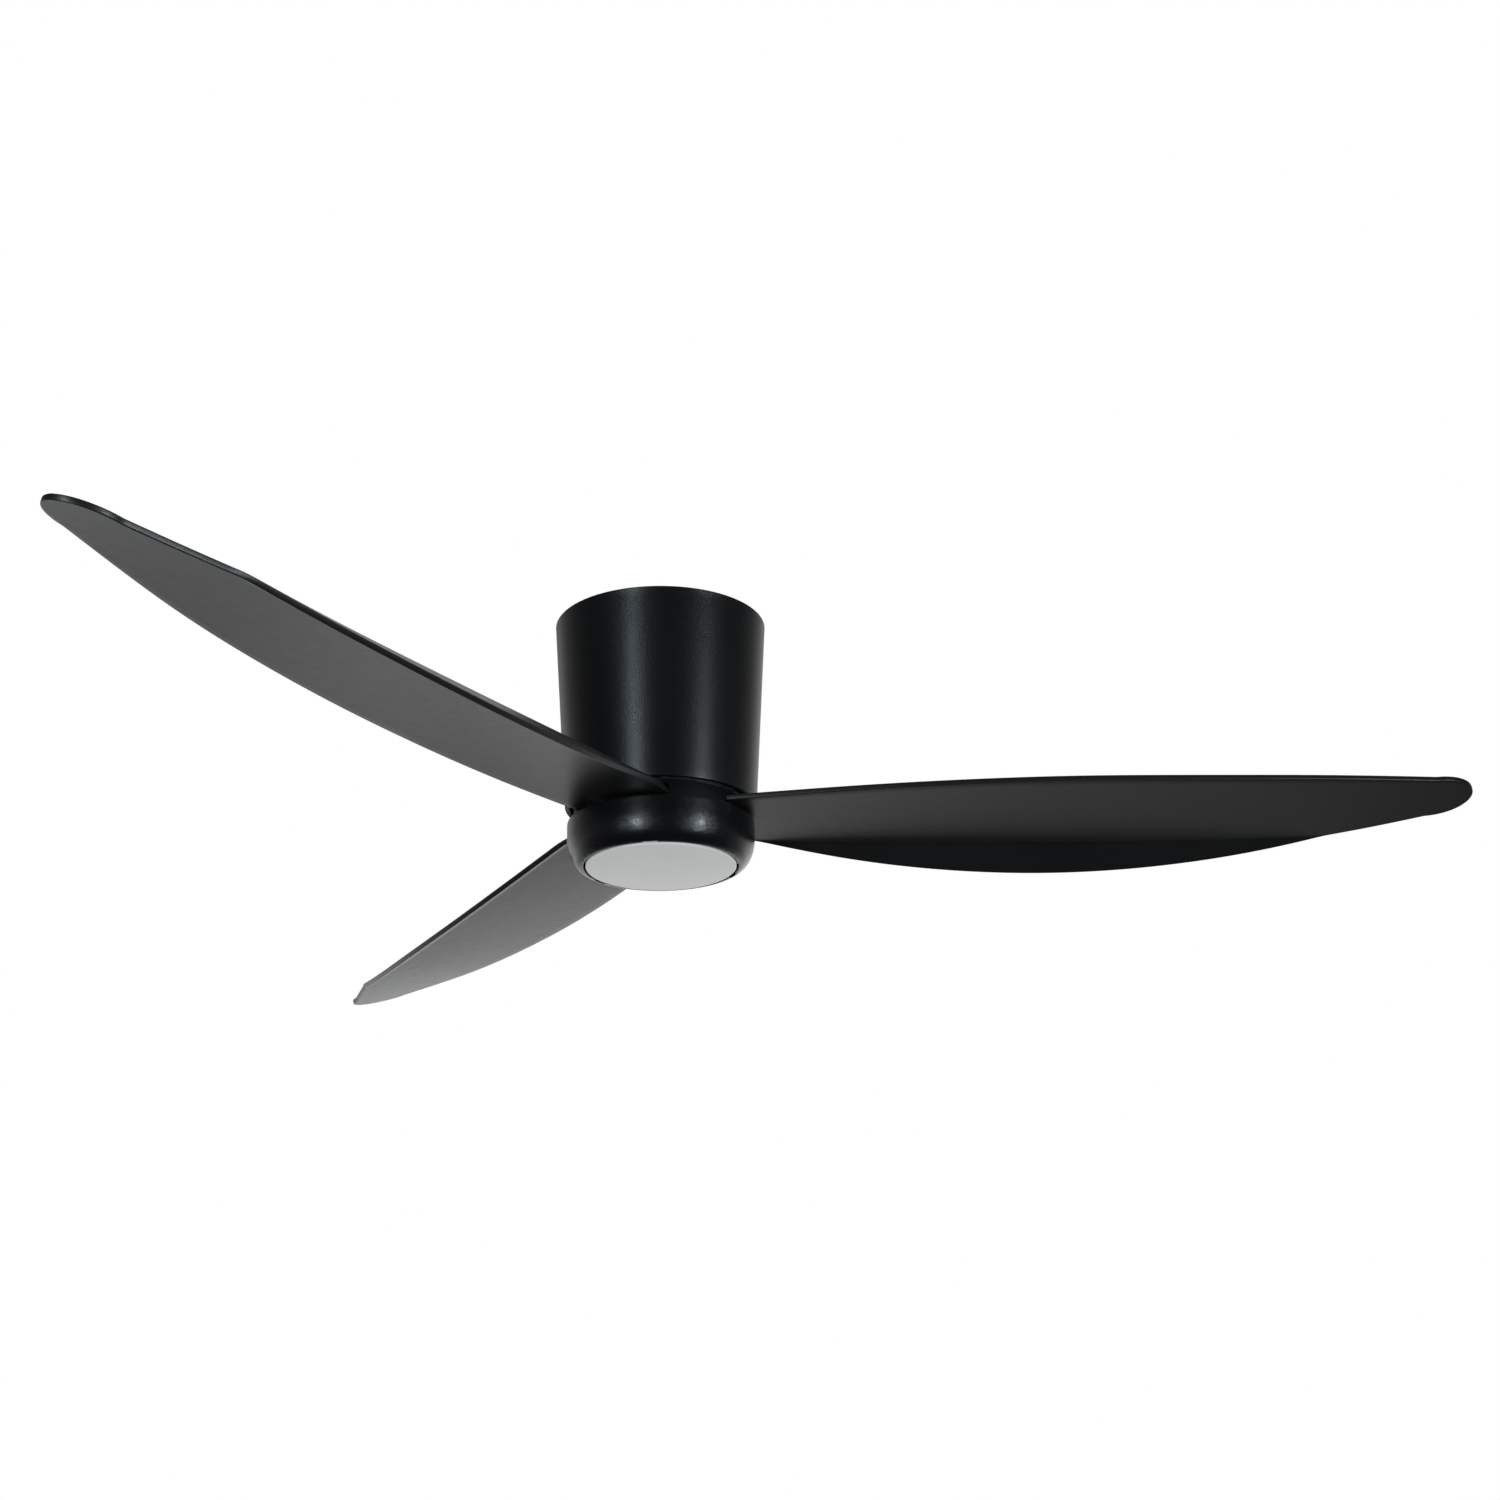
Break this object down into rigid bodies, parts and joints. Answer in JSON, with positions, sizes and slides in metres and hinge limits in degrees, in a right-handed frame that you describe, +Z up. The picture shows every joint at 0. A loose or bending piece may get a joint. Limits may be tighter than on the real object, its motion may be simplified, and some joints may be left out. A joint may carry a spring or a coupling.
{
  "type": "ceiling fan with light",
  "caption": "Flush-mount ceiling fan: tapered black canopy, folded wide blades with rounded tips on a slim hub, and a round opal light in a black ring.",
  "frame": {"origin": "centre of the ceiling plate's top face, where the fan meets the ceiling", "axes": "+Z up through the ceiling along the shaft, +X along blade 1"},
  "size_m": [0.997, 1.1435, 0.211],
  "materials": {
    "canopy_black": "fine orange-peel satin black powder coat",
    "light_ring_black": "fine-grained satin black powder coat",
    "hub_black": "matte black powder coat",
    "blade_black": "smooth matte black with a faint moulded grain",
    "opal_diffuser": "opal white, unlit, satin smooth",
    "zinc_steel": "bright zinc plate with a faint brushed grain",
    "black_screw": "black oxide",
    "polished_steel": "ground and polished",
    "cast_aluminium": "fine as-cast grain",
    "lamination_steel": "stacked sheet edges, thinly varnished",
    "magnet_ferrite": "dull grey-black ferrite",
    "copper_wire": "varnished copper wire",
    "rubber_black": "matte black rubber",
    "cable_grey": "dark grey cable sheath",
    "dark_plastic": "textured black moulding",
    "ivory_plastic": "ivory moulding",
    "white_board": "white solder mask on aluminium"
  },
  "bodies": {
    "canopy": {"ceiling_plate": "zinc_steel", "canopy_shell": "canopy_black", "canopy_screw_1": "black_screw", "canopy_screw_2": "black_screw", "hanger_frame": "zinc_steel", "hanger_isolator_1": "rubber_black", "hanger_isolator_2": "rubber_black", "hanger_screw_1": "zinc_steel", "hanger_screw_2": "zinc_steel", "receiver_box": "dark_plastic", "terminal_block": "ivory_plastic", "supply_lead": "cable_grey", "motor_lead": "cable_grey", "light_lead": "cable_grey", "motor_shaft": "polished_steel", "shaft_nut": "zinc_steel", "stator_core": "lamination_steel", "winding_upper": "copper_wire", "winding_lower": "copper_wire", "upper_bearing_inner": "polished_steel", "lower_bearing_inner": "polished_steel", "light_bracket": "zinc_steel", "bracket_nut": "zinc_steel", "light_pan": "light_ring_black", "pan_screw_1": "zinc_steel", "pan_screw_2": "zinc_steel", "pan_screw_3": "zinc_steel", "led_driver": "ivory_plastic", "led_board": "white_board"},
    "rotor": {"motor_cover_upper": "cast_aluminium", "motor_cover_lower": "cast_aluminium", "rotor_back_iron": "lamination_steel", "magnet_ring": "magnet_ferrite", "upper_bearing_outer": "polished_steel", "lower_bearing_outer": "polished_steel", "blade_hub": "hub_black", "hub_screw_1": "zinc_steel", "hub_screw_2": "zinc_steel", "hub_screw_3": "zinc_steel", "blade_1": "blade_black", "blade_pad_1": "rubber_black", "blade_clamp_1": "zinc_steel", "blade_screw_1a": "zinc_steel", "blade_screw_1b": "zinc_steel", "blade_screw_1c": "zinc_steel", "blade_2": "blade_black", "blade_pad_2": "rubber_black", "blade_clamp_2": "zinc_steel", "blade_screw_2a": "zinc_steel", "blade_screw_2b": "zinc_steel", "blade_screw_2c": "zinc_steel", "blade_3": "blade_black", "blade_pad_3": "rubber_black", "blade_clamp_3": "zinc_steel", "blade_screw_3a": "zinc_steel", "blade_screw_3b": "zinc_steel", "blade_screw_3c": "zinc_steel"},
    "upper_cage": {"upper_ball_cage": "polished_steel"},
    "lower_cage": {"lower_ball_cage": "polished_steel"},
    "diffuser": {"diffuser": "opal_diffuser"}
  },
  "joints": [
    {"name": "rotor_spin", "type": "hinge", "parent": "canopy", "child": "rotor", "pos_m": [0, 0, -0.16], "axis": [0, 0, 1], "continuous": true},
    {"name": "upper_cage_spin", "type": "hinge", "parent": "canopy", "child": "upper_cage", "pos_m": [0, 0, -0.0985], "axis": [0, 0, 1], "continuous": true},
    {"name": "lower_cage_spin", "type": "hinge", "parent": "canopy", "child": "lower_cage", "pos_m": [0, 0, -0.1515], "axis": [0, 0, 1], "continuous": true},
    {"name": "diffuser_twist", "type": "hinge", "parent": "canopy", "child": "diffuser", "pos_m": [0, 0, -0.205], "axis": [0, 0, 1], "range_deg": [0, 25]}
  ],
  "couplings": [
    {"joint": "upper_cage_spin", "follows": "rotor_spin", "ratio": 0.584},
    {"joint": "lower_cage_spin", "follows": "rotor_spin", "ratio": 0.584}
  ]
}
